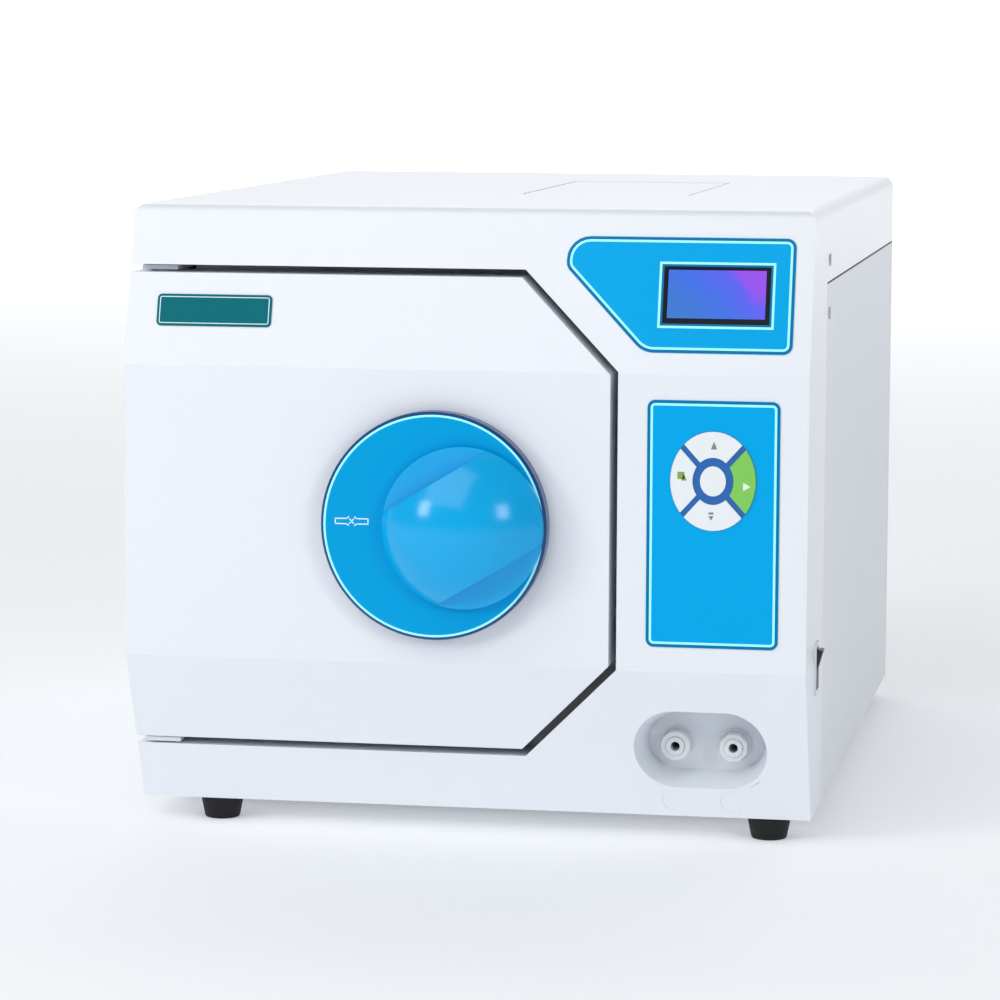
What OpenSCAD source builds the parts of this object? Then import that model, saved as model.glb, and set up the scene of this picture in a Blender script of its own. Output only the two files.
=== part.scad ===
// Benchtop autoclave, 22 litre class, side-hinged door with a locking knob.
// Millimetres. +Z is up, +X is to the viewer's right, the front faces -Y.
// The origin is on the table, under the middle of the machine's overall box.
// Inside the modules, Y runs back from the front plane and Z up from the cabinet's underside.

/* [Cabinet] */
// Width of the cabinet
body_w = 445; // [440:1:560]
// Depth from the front plane to the rear panel
body_d = 645; // [620:1:800]
// Height of the cabinet without its feet
body_h = 395; // [392:1:480]
// Height of the feet
foot_h = 15; // [10:1:30]
// Height of the crease between the lower and the middle front facet
crease_low = 102; // [90:1:110]
// Height of the crease between the middle and the upper front facet
crease_high = 292; // [286:1:300]
// How far the top front edge stands back from the front plane
top_setback = 30; // [10:1:45]
// How far the bottom front edge stands back from the front plane
bottom_setback = 45; // [10:1:50]
// Radius of the long top edges
top_edge_r = 8; // [4:1:20]
// Wall of the plastic mouldings
mould_t = 3; // [2:0.5:4]
// Thickness of the sheet metal panels
panel_t = 1.2; // [0.8:0.1:2]
// Depth of the moulded front bezel
bezel_d = 110; // [108:1:125]
// Height of the top cover's side walls
top_cover_h = 50; // [35:1:60]
// How far the rear fittings stand out from the rear panel
rear_proud = 24; // [20:1:40]

/* [Door] */
// Distance from the cabinet's left side to the door's right edge
door_w = 318.5; // [316:0.5:322]
// Height of the door's lower edge
door_bottom = 44; // [40:1:46]
// Height of the door itself
door_h = 307; // [303:1:309]
// Size of the cut corners at the door's free edge
door_corner = 60; // [30:1:70]
// Gap between the door and the bezel
door_gap = 5; // [4.5:0.5:7]
// Depth of the door
door_d = 58; // [56:1:60]
// Hinge axis, inwards from the left side
hinge_inset = 17; // [16:1:20]
// Hinge axis, back from the front plane
hinge_setback = 38; // [38:1:40]
// Diameter of the hinge pins
hinge_pin_d = 10; // [8:1:11]
// Greatest opening angle of the door
door_open = 105; // [60:5:105]

/* [Door lock] */
// Diameter of the round escutcheon under the knob
disc_d = 147; // [120:1:150]
// Thickness of the escutcheon
disc_t = 12; // [8:1:16]
// Distance from the cabinet's left side to the escutcheon's centre
disc_inset = 206.5; // [197.5:1:212.5]
// Diameter of the knob
knob_d = 104; // [80:1:108]
// How far the knob stands out from the escutcheon
knob_h = 33; // [25:1:45]
// Height of the knob's domed front, from its rim to its middle
dome_h = 26.5; // [8:0.5:26.5]
// Distance between the knob's two flats, at the knob's front
knob_flat = 68; // [36:1:72]
// How far the flats lean out for each millimetre towards the back
knob_slope = 0; // [0:0.02:1.2]
// Angle of the flats at rest
knob_angle = 31; // [0:1:60]
// Distance from the cabinet's left side to the knob and spindle axis
knob_inset = 226.5; // [224.5:1:228.5]
// Height of the knob, the escutcheon and the spindle
knob_z = 193; // [188:1:198]
// Diameter of the spindle
spindle_d = 14; // [10:1:16]
// Turn of the knob from open to locked
lock_turn = 120; // [90:5:150]
// Travel of the lock bolts over that turn
bolt_travel = 20; // [16:1:20]
// Diameter of the lock bolts
bolt_d = 16; // [12:1:18]

/* [Chamber] */
// Bore of the pressure chamber
chamber_bore = 250; // [230:1:254]
// Length of the pressure chamber
chamber_l = 450; // [300:5:460]
// Wall of the pressure chamber
chamber_wall = 2; // [1.5:0.5:3]
// Distance from the cabinet's left side to the chamber axis
chamber_inset = 162.5; // [160.5:1:164.5]
// Height of the chamber axis
chamber_z = 197.5; // [195:0.5:200]
// Outer diameter of the front flange
flange_d = 296; // [290:1:298]
// Thickness of the front flange
flange_t = 14; // [10:1:18]
// Thickness of the insulation
insulation_t = 20; // [10:1:22]
// Clear height between two trays
tray_pitch = 52; // [40:1:54]
// Greatest width of a tray; a narrow chamber takes a narrower one
tray_max_w = 176; // [120:1:184]
// Length of a tray
tray_l = 400; // [200:5:400]

/* [Controls] */
// Right margin of both overlays
overlay_margin = 9; // [6:1:12]
// Width of the display overlay
display_w = 146.5; // [130:0.5:150]
// Height of the display overlay along its facet
display_h = 75; // [60:1:78]
// Width of the clear display
lcd_w = 65; // [50:1:70]
// Height of the clear display
lcd_h = 34; // [25:1:36]
// Width of the keypad overlay
keypad_w = 84.5; // [76:0.5:90]
// Height of the keypad overlay
keypad_h = 158; // [120:1:160]
// Width of the oval group of keys
keys_w = 54.6; // [50:0.2:60]
// Height of the oval group of keys
keys_h = 63.2; // [56:0.2:70]
// Travel of a key
key_travel = 0.5; // [0.3:0.1:0.8]

/* [Drain well] */
// Width of the oval well
well_w = 86; // [80:1:92]
// Height of the oval well
well_h = 53.6; // [48:0.4:56]
// Distance between the two drain couplers
coupler_pitch = 38; // [34:1:40]
// Bore of a coupler
coupler_bore = 6; // [4:0.5:8]
// Travel of a coupler's release sleeve
sleeve_travel = 2.5; // [1.5:0.5:3]

/* [Water] */
// Width of the filling lid
lid_w = 115; // [100:1:118]
// Length of the filling lid
lid_l = 240; // [160:1:250]
// Distance from the front plane to the lid's front edge
lid_front = 235; // [225:1:245]
// Thickness of the lid
lid_t = 4; // [3:0.5:6]

/* [Hidden] */

$fn = 64;
W = body_w / 2;
fit = 0.05;
slide_fit = 0.3;
front_y = -(body_d + rear_proud - disc_t - knob_h) / 2;
facet_steps = 6;

// A unit vector along v.
function unit(v) = v / norm(v);

// An outline shifted inwards by d; a negative d shifts it outwards. Points run anticlockwise.
function inset(pts, d) = let (c = len(pts)) [
    for (i = [0:c - 1]) let (
        a = unit(pts[i] - pts[(i + c - 1) % c]),
        b = unit(pts[(i + 1) % c] - pts[i]),
        na = [-a.y, a.x],
        nb = [-b.y, b.x]
    ) pts[i] + d * (na + nb) / (1 + na * nb)];

// The arc that rounds corner v, between its neighbours p and n.
function corner_arc(p, v, n, r) = let (
    a = unit(p - v),
    b = unit(n - v),
    half = acos(a * b) / 2,
    centre = v + unit(a + b) * r / sin(half),
    start = v + a * r / tan(half) - centre,
    turn = (a.x * b.y - a.y * b.x < 0 ? 1 : -1) * (180 - 2 * half)
) [for (k = [0:facet_steps]) let (s = turn * k / facet_steps)
    centre + [start.x * cos(s) - start.y * sin(s), start.x * sin(s) + start.y * cos(s)]];

// An outline with each corner rounded by its own radius; 0 keeps the corner sharp.
function rounded(pts, radii) = let (c = len(pts)) [
    for (i = [0:c - 1]) each radii[i] > 0
        ? corner_arc(pts[(i + c - 1) % c], pts[i], pts[(i + 1) % c], radii[i]) : [pts[i]]];

function rectangle(x0, y0, x1, y1) = [[x0, y0], [x1, y0], [x1, y1], [x0, y1]];
function ellipse(a, b, n = 48) = [for (k = [0:n - 1]) [a * cos(360 * k / n), b * sin(360 * k / n)]];

// Extrudes an X-Z outline along Y, and a Y-Z outline along X.
module along_y(y0, y1) translate([0, y1, 0]) rotate([90, 0, 0]) linear_extrude(y1 - y0) children();
module along_x(x0, x1) translate([x0, 0, 0]) rotate([90, 0, 90]) linear_extrude(x1 - x0) children();
// A rod along Y or along X, from one coordinate to the other.
module rod_y(x, z, d, y0, y1) translate([x, y1, z]) rotate([90, 0, 0]) cylinder(d = d, h = y1 - y0);
module rod_x(y, z, d, x0, x1) translate([x0, y, z]) rotate([0, 90, 0]) cylinder(d = d, h = x1 - x0);
// A block between two opposite corners.
module block(a, b) translate(a) cube(b - a);
// Places the cabinet's coordinates in the part's frame.
module in_cabinet() translate([0, front_y, foot_h]) children();

// Cabinet outlines, shrunk by d on every side.
function side_points() = [[bottom_setback, 0], [body_d, 0], [body_d, body_h],
                          [top_setback, body_h], [0, crease_high], [0, crease_low]];
function side_outline(d) = rounded(inset(side_points(), d), [0, 0, 0, top_edge_r, 0, 0]);
function front_outline(d) = rounded(rectangle(-W + d, d, W - d, body_h - d),
                                    [0, 0, max(top_edge_r - d, 1), max(top_edge_r - d, 1)]);
module cabinet_solid(d, y0, y1) intersection() {
    along_x(-W + d, W - d) polygon(side_outline(d));
    along_y(y0, y1) polygon(front_outline(d));
}

// The door's outline, and the bezel's bay around it.
door_right = -W + door_w;
door_top = door_bottom + door_h;
function door_points(left) = [[left, door_bottom], [door_right - door_corner, door_bottom],
    [door_right, door_bottom + door_corner], [door_right, door_top - door_corner],
    [door_right - door_corner, door_top], [left, door_top]];
function bay_points(grow) = inset(door_points(-W - body_w), -door_gap - grow);
bay_d = door_d + 10;
bay_right = door_right + door_gap;

// Axes that keep their distance from the left side, where the door hangs.
chamber_x = -W + chamber_inset;
knob_x = -W + knob_inset;
disc_x = -W + disc_inset;

// Front-to-back stack behind the door.
flange_y = bay_d + mould_t + 1;
frame_y = flange_y + flange_t;
frame_t = 4;
chamber_end_y = flange_y + chamber_l;
plate_y = door_d + 2;
hinge_x = -W + hinge_inset;
pin_reach = 30;
bracket_t = 3;
seal_r = (chamber_bore + 16) / 2;
plate_r = seal_r + 8;

// Door lock.
knob_gap = 0.5;
slot_r = 18;
follower_d = 8;
cam_y = 24;
cam_t = 7;
cam_r = slot_r + bolt_travel + 10;
slide_y = cam_y + cam_t + 1;
slide_t = 6;
bolt_y = slide_y;
bolt_spread = 126;
bolt_start_x = knob_x + 46;
bolt_end_x = door_right - 2;
slide_bar_w = 12;
door_frame_y = 44;
door_frame_t = 6;
keeper_t = 8;
spiral_rise = bolt_travel * 180 / (lock_turn * PI);

// Upper facet, and the overlays on it.
facet_tilt = atan(top_setback / (body_h - crease_high));
overlay_t = 0.6;
display_x1 = W - overlay_margin - 2.5;
display_x0 = display_x1 - display_w;
display_z0 = 14;
display_cut = [51.5, 54.8];
lcd_x = display_x1 - 49.5;
lcd_z = display_z0 + display_h / 2;

// Keypad.
keypad_x1 = W - overlay_margin - 9;
keypad_x0 = keypad_x1 - keypad_w;
keypad_z0 = crease_low + 16;
keys_x = (keypad_x0 + keypad_x1) / 2;
keys_z = keypad_z0 + keypad_h - 51;
ring_a = 13;
ring_b = 15;
centre_a = 8.3;
centre_b = 9.6;
bar_w = 3.5;
bar_angle = 48;
key_out = 1.6;
key_in = key_travel + fit;
stem_d = 4;
board_y = 8;

// Drain well and its couplers.
well_x = W - 26.8 - well_w / 2;
well_z = 20.6 + well_h / 2;
well_floor_y = 60;
coupler_z = well_z - 1.5;
coupler_front_y = 44;
coupler_d = 12;
sleeve_d = 19;
sleeve_l = 8;

// Power switch on the right side.
switch_y = 67.5;
switch_z = 96.8;
switch_w = 12;
switch_h = 28;
rocker_tilt = 8;
rocker_pivot_x = W - 2;
rocker_pin_d = 3;

// Filling lid and the tank under it.
lid_x0 = -2;
lid_back = lid_front + lid_l;
lid_gap = 0.8;
seam_w = 1.4;
side_screw_y = bezel_d + 15;
lid_floor_z = body_h - lid_t - 0.5;
mouth_in = 14;
tank_t = 2.5;
tank_top = lid_floor_z - mould_t - slide_fit;
insulation_r = chamber_bore / 2 + chamber_wall + 2.3 + insulation_t;
tank_shelf_z = chamber_z + insulation_r + 4;
column_x = chamber_x + insulation_r + 9;
tank_x1 = W - 8.5;
tank_low_z = 240;

// Tray rack.
rack_t = 1.2;
rack_r = chamber_bore / 2 - 0.3;
tray_h = 12;
tray_side_gap = 0.8;
tie_d = 5;
tie_in = tie_d;
rack_least_h = tray_pitch + tray_h + tie_in + tie_d / 2 + 0.5;
tray_room = sqrt(pow(rack_r, 2) - pow(rack_least_h, 2)) - rack_t - tray_side_gap;
tray_w = min(tray_max_w, 2 * tray_room);
rack_x = tray_w / 2 + tray_side_gap;
rack_half_h = sqrt(pow(rack_r, 2) - pow(rack_x + rack_t, 2));
tray_front_y = flange_y + 18;

// Base, feet and rear.
tray_z = mould_t;
floor_z = tray_z + 2;
rear_y = body_d - panel_t;
foot_xs = [-W + 49.5, W - 28.5];
foot_ys = [60, body_d - 60];
foot_top_d = 29;
foot_low_d = 23;
foot_screw_d = 5;
cover_screw_d = 4;
fan_x = W - 65;
fan_z = floor_z + 63;
fan_d = 114;
fan_t = 38;
fan_y = rear_y - fan_t;
hub_d = 42;
inlet_x = -150;
inlet_z = 60;
valve_x = -60;
valve_z = 300;
valve_bore = 6;
vent_d = 10;

module on_upper_facet() translate([0, 0, crease_high]) rotate([-facet_tilt, 0, 0]) children();
module stadium(w, h) {
    square([w - h, h], center = true);
    for (s = [-1, 1]) translate([s * (w - h) / 2, 0]) circle(d = h);
}
module well_shape(grow) translate([well_x, well_z]) stadium(well_w + 2 * grow, well_h + 2 * grow);
function display_outline(d) = rounded(inset([[display_x0 + display_cut.x, display_z0],
    [display_x1, display_z0], [display_x1, display_z0 + display_h],
    [display_x0, display_z0 + display_h], [display_x0, display_z0 + display_cut.y]], d),
    [16, 6, 6, 15, 8]);
module lcd_shape(grow) translate([lcd_x, lcd_z])
    square([lcd_w + 2 * grow, lcd_h + 2 * grow], center = true);

// Where each key's stem passes through the bezel.
function key_spots() = let (h = (keys_h / 2 + ring_b) / 2, w = (keys_w / 2 + ring_a) / 2)
    [[0, h], [-w, 0], [w, 0], [0, -h], [0, 0]];
// The outline of key i: up, left, right, down and centre.
module key_shape(i, grow = 0) {
    far = keys_h;
    wedge = [90, 180, 0, 270][i];
    half = i == 1 || i == 2 ? bar_angle : 90 - bar_angle;
    shift = (bar_w / 2 - grow) / sin(half);
    if (i == 4) polygon(ellipse(centre_a + grow, centre_b + grow));
    else intersection() {
        difference() {
            polygon(ellipse(keys_w / 2 + grow, keys_h / 2 + grow));
            polygon(ellipse(ring_a - grow, ring_b - grow));
        }
        rotate(wedge) translate([shift, 0])
            polygon([[0, 0], [far, -far * tan(half)], [far, far * tan(half)]]);
    }
}

// ---------- Cabinet ----------

module front_bezel() color("white") in_cabinet() difference() {
    union() {
        difference() {
            cabinet_solid(0, -1, bezel_d);
            cabinet_solid(mould_t, -1, bezel_d + 1);
        }
        intersection() {
            cabinet_solid(0, -1, bay_d + mould_t);
            along_y(-1, bay_d + mould_t) polygon(bay_points(mould_t));
        }
        for (x = [-36, 36], z = [-105, 50]) rod_y(keys_x + x, keys_z + z, 6, mould_t - 0.5, board_y);
    }
    along_y(-2, bay_d) polygon(bay_points(0));
    rod_y(chamber_x, chamber_z, flange_d + 5, bay_d - 1, flange_y);
    for (z = [door_bottom - door_gap - 1, door_top - 1])
        block([hinge_x - 14, bay_d - 1, z], [hinge_x + 14, flange_y, z + door_gap + 2]);
    for (s = [-1, 1])
        rod_x(bolt_y, knob_z + s * bolt_spread / 2, bolt_d + 2, bay_right - 1, bay_right + mould_t + 1);
    on_upper_facet() along_y(-1, mould_t + 1) lcd_shape(1);
    for (spot = key_spots()) rod_y(keys_x + spot.x, keys_z + spot.y, stem_d + 1, -1, mould_t + 1);
    along_y(-1, bezel_d) well_shape(mould_t);
    block([W - mould_t - 1, switch_y - switch_w / 2 - 1.2, switch_z - switch_h / 2 - 1.2],
          [W + 1, switch_y + switch_w / 2 + 1.2, switch_z + switch_h / 2 + 1.2]);
    for (x = foot_xs) translate([x, foot_ys[0], -1]) cylinder(d = foot_screw_d + 1, h = mould_t + 2);
}

module side_panel() in_cabinet() difference() {
    along_y(bezel_d, rear_y) polygon([[W, 0], [W, body_h - top_cover_h], [W - panel_t, body_h - top_cover_h],
        [W - panel_t, mould_t], [W - 14, mould_t], [W - 14, mould_t - panel_t],
        [W - panel_t, mould_t - panel_t], [W - panel_t, 0]]);
    rod_x(side_screw_y, 324, cover_screw_d + 0.2, W - 5, W + 1);
    block([W - panel_t / 2, bezel_d - 1, body_h - top_cover_h - seam_w], [W + 1, rear_y + 1, body_h]);
}
module left_side_panel() color("gainsboro") mirror([1, 0, 0]) side_panel();
module right_side_panel() color("gainsboro") side_panel();

module lid_outline(grow) polygon(rounded(rectangle(lid_x0 - grow, lid_front - grow,
    lid_x0 + lid_w + grow, lid_back + grow), [12, 12, 1, 1]));

module top_cover() color("white") in_cabinet() difference() {
    union() {
        difference() {
            cabinet_solid(0, bezel_d, rear_y);
            cabinet_solid(mould_t, bezel_d - 1, rear_y + 1);
        }
        translate([0, 0, lid_floor_z - mould_t]) linear_extrude(lid_t + mould_t) lid_outline(4);
    }
    block([-W - 1, 0, -1], [W + 1, body_d, body_h - top_cover_h]);
    translate([0, 0, lid_floor_z]) linear_extrude(lid_t + 2) lid_outline(lid_gap);
    block([lid_x0 + mouth_in, lid_front + mouth_in, lid_floor_z - mould_t - 1],
          [lid_x0 + lid_w - mouth_in, lid_back - mouth_in, body_h]);
    rod_x(lid_back - lid_t / 2, body_h - lid_t / 2, 2.5, lid_x0 - 3, lid_x0 + lid_w + 3);
    for (s = [-1, 1]) rod_x(side_screw_y, body_h - 36, cover_screw_d + 0.2, s * W - 5, s * W + 5);
}

module rear_panel() color("gainsboro") in_cabinet() difference() {
    along_y(rear_y, body_d) polygon(front_outline(0));
    rod_y(fan_x, fan_z, fan_d, rear_y - 1, body_d + 1);
    block([inlet_x - 24, rear_y - 1, inlet_z - 16], [inlet_x + 24, body_d + 1, inlet_z + 16]);
    rod_y(valve_x, valve_z, 14.4, rear_y - 1, body_d + 1);
    for (p = rear_ports()) rod_y(p.x, p.y, vent_d + 4.4, rear_y - 1, body_d + 1);
    for (p = rear_screws()) rod_y(p.x, p.y, cover_screw_d + 0.2, rear_y - 1, body_d + 1);
    for (row = [0:4], k = [0:9]) translate([-175 + 14 * k, 0, 330 + 9 * row])
        block([0, rear_y - 1, 0], [9, body_d + 1, 4]);
}
function rear_ports() = [[inlet_x - 40, inlet_z + 60], [inlet_x, inlet_z + 60], [inlet_x + 50, inlet_z]];
function rear_screws() = [for (x = [-W + 12, W - 12], z = [145, 240, 335]) [x, z]];

module base_tray() color("silver") in_cabinet() difference() {
    union() {
        block([-W + mould_t, 50, tray_z], [W - mould_t, rear_y, floor_z]);
        for (s = [-1, 1]) {
            block([s * (W - panel_t) - (s > 0 ? 3 : 0), bezel_d + 0.5, tray_z],
                  [s * (W - panel_t) + (s > 0 ? 0 : 3), rear_y, floor_z]);
            block([s * (W - panel_t) - (s > 0 ? 1.5 : 0), bezel_d + 0.5, tray_z],
                  [s * (W - panel_t) + (s > 0 ? 0 : 1.5), rear_y, floor_z + 20]);
        }
    }
    for (x = foot_xs, y = foot_ys) translate([x, y, 0]) cylinder(d = foot_screw_d + 2 * fit, h = 20);
}

module front_frame() color("slategray") in_cabinet() difference() {
    block([-W + mould_t, frame_y, floor_z],
          [bay_right + mould_t + keeper_t + 5, frame_y + frame_t, body_h - top_edge_r - 2]);
    rod_y(chamber_x, chamber_z, chamber_bore + 2 * chamber_wall + 0.6, frame_y - 1, frame_y + frame_t + 1);
    flange_bolt_ring(8 + 2 * fit, frame_y - 1, frame_y + frame_t + 1);
    for (x = [-190, 80]) rod_y(x, 20, 12, frame_y - 1, frame_y + frame_t + 1);
}

module feet() color("dimgray") translate([0, front_y, 0]) for (x = foot_xs, y = foot_ys)
    translate([x, y, 0]) difference() {
        cylinder(d1 = foot_low_d, d2 = foot_top_d, h = foot_h);
        translate([0, 0, -1]) cylinder(d = foot_screw_d + 2 * fit, h = foot_h + 2);
        translate([0, 0, -1]) cylinder(d = 11, h = 6);
    }

module screw_y(p, y, shank) {
    rod_y(p.x, p.y, cover_screw_d, y - shank, y);
    rod_y(p.x, p.y, 8, y, y + 1.5);
}
module screws() color("silver") {
    translate([0, front_y, 0]) for (x = foot_xs, y = foot_ys) translate([x, y, 0]) {
        translate([0, 0, 2]) cylinder(d = 10, h = 3);
        translate([0, 0, 4]) cylinder(d = foot_screw_d, h = foot_h + floor_z - 3);
    }
    in_cabinet() {
        for (p = rear_screws()) screw_y(p, body_d, 8);
        for (s = [-1, 1], z = [body_h - 36, 324]) {
            rod_x(side_screw_y, z, cover_screw_d, s > 0 ? W - 8 : -W, s > 0 ? W : -W + 8);
            rod_x(side_screw_y, z, 8, s > 0 ? W : -W - 1, s > 0 ? W + 1 : -W);
        }
    }
}

// ---------- Controls ----------

module display_overlay() color("deepskyblue") in_cabinet() on_upper_facet() difference() {
    along_y(-overlay_t, 0) polygon(display_outline(0));
    along_y(-2, 1) lcd_shape(1);
}
module lcd_window() color("black") in_cabinet() on_upper_facet()
    along_y(-overlay_t, mould_t) lcd_shape(0.9);
module lcd_module() color("royalblue") in_cabinet() on_upper_facet()
    along_y(mould_t, mould_t + 9) lcd_shape(6);

module keypad_overlay() color("deepskyblue") in_cabinet() difference() {
    along_y(-overlay_t, 0) polygon(rounded(rectangle(keypad_x0, keypad_z0, keypad_x1,
        keypad_z0 + keypad_h), [5, 5, 5, 5]));
    for (i = [0:4]) along_y(-2, 1) translate([keys_x, keys_z]) key_shape(i, 0.3);
}
module key(i) in_cabinet() translate([keys_x, 0, keys_z]) {
    along_y(-key_out, -key_in) key_shape(i);
    rod_y(key_spots()[i].x, key_spots()[i].y, stem_d, -key_in - 0.1, board_y - 2 - key_in);
}
module key_up() color("white") key(0);
module key_left() color("white") key(1);
module key_right() color("yellowgreen") key(2);
module key_down() color("white") key(3);
module key_centre() color("white") key(4);

module control_board() color("darkgreen") in_cabinet() {
    block([keys_x - 40, board_y, keys_z - 109], [keys_x + 40, board_y + 1.6, keys_z + 54]);
    for (spot = key_spots()) translate([keys_x + spot.x - 3, board_y - 2, keys_z + spot.y - 3])
        cube([6, 2, 6]);
    block([keys_x - 20, board_y + 1.6, keys_z - 90], [keys_x + 20, board_y + 6, keys_z - 60]);
}

// ---------- Drain well ----------

module drain_well() color("white") in_cabinet() difference() {
    intersection() {
        cabinet_solid(0, -1, bezel_d);
        along_y(0, well_floor_y + mould_t) well_shape(mould_t);
    }
    along_y(-1, well_floor_y) well_shape(0);
    for (s = [-1, 1])
        rod_y(well_x + s * coupler_pitch / 2, coupler_z, coupler_d + 0.1, 0, well_floor_y + mould_t + 1);
}
module coupler(s) translate([well_x + s * coupler_pitch / 2, 0, coupler_z]) difference() {
    union() {
        rod_y(0, 0, coupler_d, coupler_front_y, well_floor_y + mould_t + 6);
        rod_y(0, 0, sleeve_d + 2, well_floor_y - 3, well_floor_y);
        rod_y(0, 0, 8.9, well_floor_y + mould_t + 5, well_floor_y + 25);
    }
    rod_y(0, 0, coupler_bore, coupler_front_y - 1, well_floor_y + 26);
}
module drain_couplers() color("dimgray") in_cabinet() for (s = [-1, 1]) coupler(s);
module release_sleeve(s, sides) translate([well_x + s * coupler_pitch / 2, 0, coupler_z]) difference() {
    rotate([0, 22.5, 0]) translate([0, coupler_front_y + 1 + sleeve_l, 0]) rotate([90, 0, 0])
        cylinder(d = sleeve_d, h = sleeve_l, $fn = sides);
    rod_y(0, 0, coupler_d + 2 * fit, 0, well_floor_y);
}
module release_sleeve_left() color("dimgray") in_cabinet() release_sleeve(-1, 64);
module release_sleeve_right() color("white") in_cabinet() release_sleeve(1, 8);
module drain_hoses() color("lightyellow") in_cabinet() for (s = [-1, 1]) difference() {
    rod_y(well_x + s * coupler_pitch / 2, coupler_z, 13, well_floor_y + mould_t + 6, 225);
    rod_y(well_x + s * coupler_pitch / 2, coupler_z, 9, 0, 226);
}

// ---------- Chamber ----------

module flange_bolt_ring(d, y0, y1) for (k = [0:7])
    translate([chamber_x, 0, chamber_z]) rotate([0, 22.5 + 45 * k, 0])
        rod_y(flange_d / 2 - 10, 0, d, y0, y1);

module chamber() color("silver") in_cabinet() difference() {
    union() {
        rod_y(chamber_x, chamber_z, chamber_bore + 2 * chamber_wall, flange_y, chamber_end_y);
        rod_y(chamber_x, chamber_z, flange_d, flange_y, frame_y);
        for (dx = [-40, 40]) rod_y(chamber_x + dx, chamber_z + 60, 14, chamber_end_y, chamber_end_y + 15);
    }
    rod_y(chamber_x, chamber_z, chamber_bore, flange_y - 1, chamber_end_y - 4);
    for (dx = [-40, 40]) rod_y(chamber_x + dx, chamber_z + 60, 10, chamber_end_y - 5, chamber_end_y + 16);
    flange_bolt_ring(8, flange_y + 5, frame_y + 1);
}
module flange_bolts() color("silver") in_cabinet() {
    flange_bolt_ring(8, flange_y + 5.5, frame_y + frame_t + 0.5);
    flange_bolt_ring(13, frame_y + frame_t, frame_y + frame_t + 6);
}
module chamber_ring(r0, r1, y0, y1) difference() {
    rod_y(chamber_x, chamber_z, 2 * r1, y0, y1);
    rod_y(chamber_x, chamber_z, 2 * r0, y0 - 1, y1 + 1);
}
band_r = chamber_bore / 2 + chamber_wall;
module heater_band() color("peru") in_cabinet()
    chamber_ring(band_r, band_r + 2, frame_y + 40, chamber_end_y - 60);
module insulation_jacket() color("khaki") in_cabinet()
    chamber_ring(band_r + 2.3, insulation_r, frame_y + 14, chamber_end_y - 5);
module chamber_saddles() color("slategray") in_cabinet() for (y = [180, 440]) difference() {
    block([chamber_x - 90, y, floor_z], [chamber_x + 90, y + 25, chamber_z - 60]);
    rod_y(chamber_x, chamber_z, 2 * insulation_r + 0.2, y - 1, y + 26);
}

module tray_rack() color("silver") in_cabinet() translate([chamber_x, 0, chamber_z]) {
    for (s = [-1, 1]) mirror([s < 0 ? 1 : 0, 0, 0]) {
        block([rack_x, tray_front_y - 4, -rack_half_h],
              [rack_x + rack_t, tray_front_y + tray_l + 4, rack_half_h]);
        for (k = [-1:1]) block([rack_x - 7, tray_front_y - 4, k * tray_pitch - rack_t],
            [rack_x, tray_front_y + tray_l + 4, k * tray_pitch]);
    }
    for (y = [tray_front_y, tray_front_y + tray_l], s = [-1, 1])
        rod_x(y, s * (rack_half_h - tie_in), tie_d, -rack_x - rack_t / 2, rack_x + rack_t / 2);
}
module trays() color("lightgray") in_cabinet() translate([chamber_x, 0, chamber_z]) for (k = [-1:1])
    translate([0, 0, k * tray_pitch]) difference() {
        block([-tray_w / 2, tray_front_y, 0], [tray_w / 2, tray_front_y + tray_l, tray_h]);
        block([-tray_w / 2 + 1, tray_front_y + 1, 1],
              [tray_w / 2 - 1, tray_front_y + tray_l - 1, tray_h + 1]);
    }

// ---------- Hinge and keeper ----------

module hinge_bracket(z, up) {
    y0 = hinge_setback - 9;
    s = up ? 1 : -1;
    low = min(z, z + s * bracket_t);
    block([hinge_x - 12, y0, low], [hinge_x + 12, frame_y, low + bracket_t]);
    block([hinge_x - 12, frame_y - bracket_t, up ? low : low - 28],
          [hinge_x + 12, frame_y, up ? low + 28 : low + bracket_t]);
    translate([hinge_x, hinge_setback, up ? z - pin_reach : z - 1])
        cylinder(d = hinge_pin_d, h = pin_reach + 1);
}
module hinge_brackets() color("silver") in_cabinet() {
    hinge_bracket(door_bottom - 1, false);
    hinge_bracket(door_top + 1, true);
}
module lock_keeper() color("slategray") in_cabinet() difference() {
    block([bay_right + mould_t, bolt_y - 16, knob_z - bolt_spread / 2 - 18],
          [bay_right + mould_t + keeper_t, frame_y, knob_z + bolt_spread / 2 + 18]);
    for (s = [-1, 1]) rod_x(bolt_y, knob_z + s * bolt_spread / 2, bolt_d + 1, bay_right, W);
}

// ---------- Door ----------

module door_shape(d) polygon(inset(door_points(-W), d));

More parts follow.
